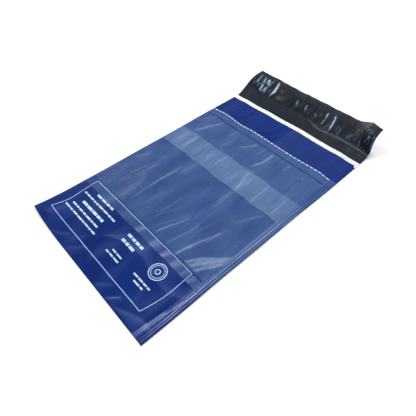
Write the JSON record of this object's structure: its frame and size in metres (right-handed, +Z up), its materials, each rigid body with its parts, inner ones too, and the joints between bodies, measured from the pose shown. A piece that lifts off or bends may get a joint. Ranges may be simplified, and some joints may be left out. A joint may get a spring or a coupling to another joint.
{
  "type": "poly mailer bag",
  "caption": "Flat film mailer bag, folded at the bottom and welded at the sides, with a clear document pocket and an open flap that carries adhesive under a release liner.",
  "frame": {"origin": "centre of the flat underside of the bag's body, on the surface it lies on", "axes": "+Y along the bag from the bottom fold to the flap, +X across it, +Z up out of the printed face"},
  "size_m": [0.2, 0.3625, 0.0335],
  "materials": {
    "printed_film": "navy printed polyethylene film, satin gloss, black inside",
    "clear_film": "clear polyethylene film, slightly milky",
    "adhesive": "tacky translucent adhesive",
    "liner_film": "clear crinkled release film, high gloss"
  },
  "bodies": {
    "root": {"bag_film": "printed_film", "lower_pocket_film": "clear_film", "upper_pocket_film": "clear_film", "adhesive_strip": "adhesive", "release_liner": "liner_film"}
  },
  "joints": []
}
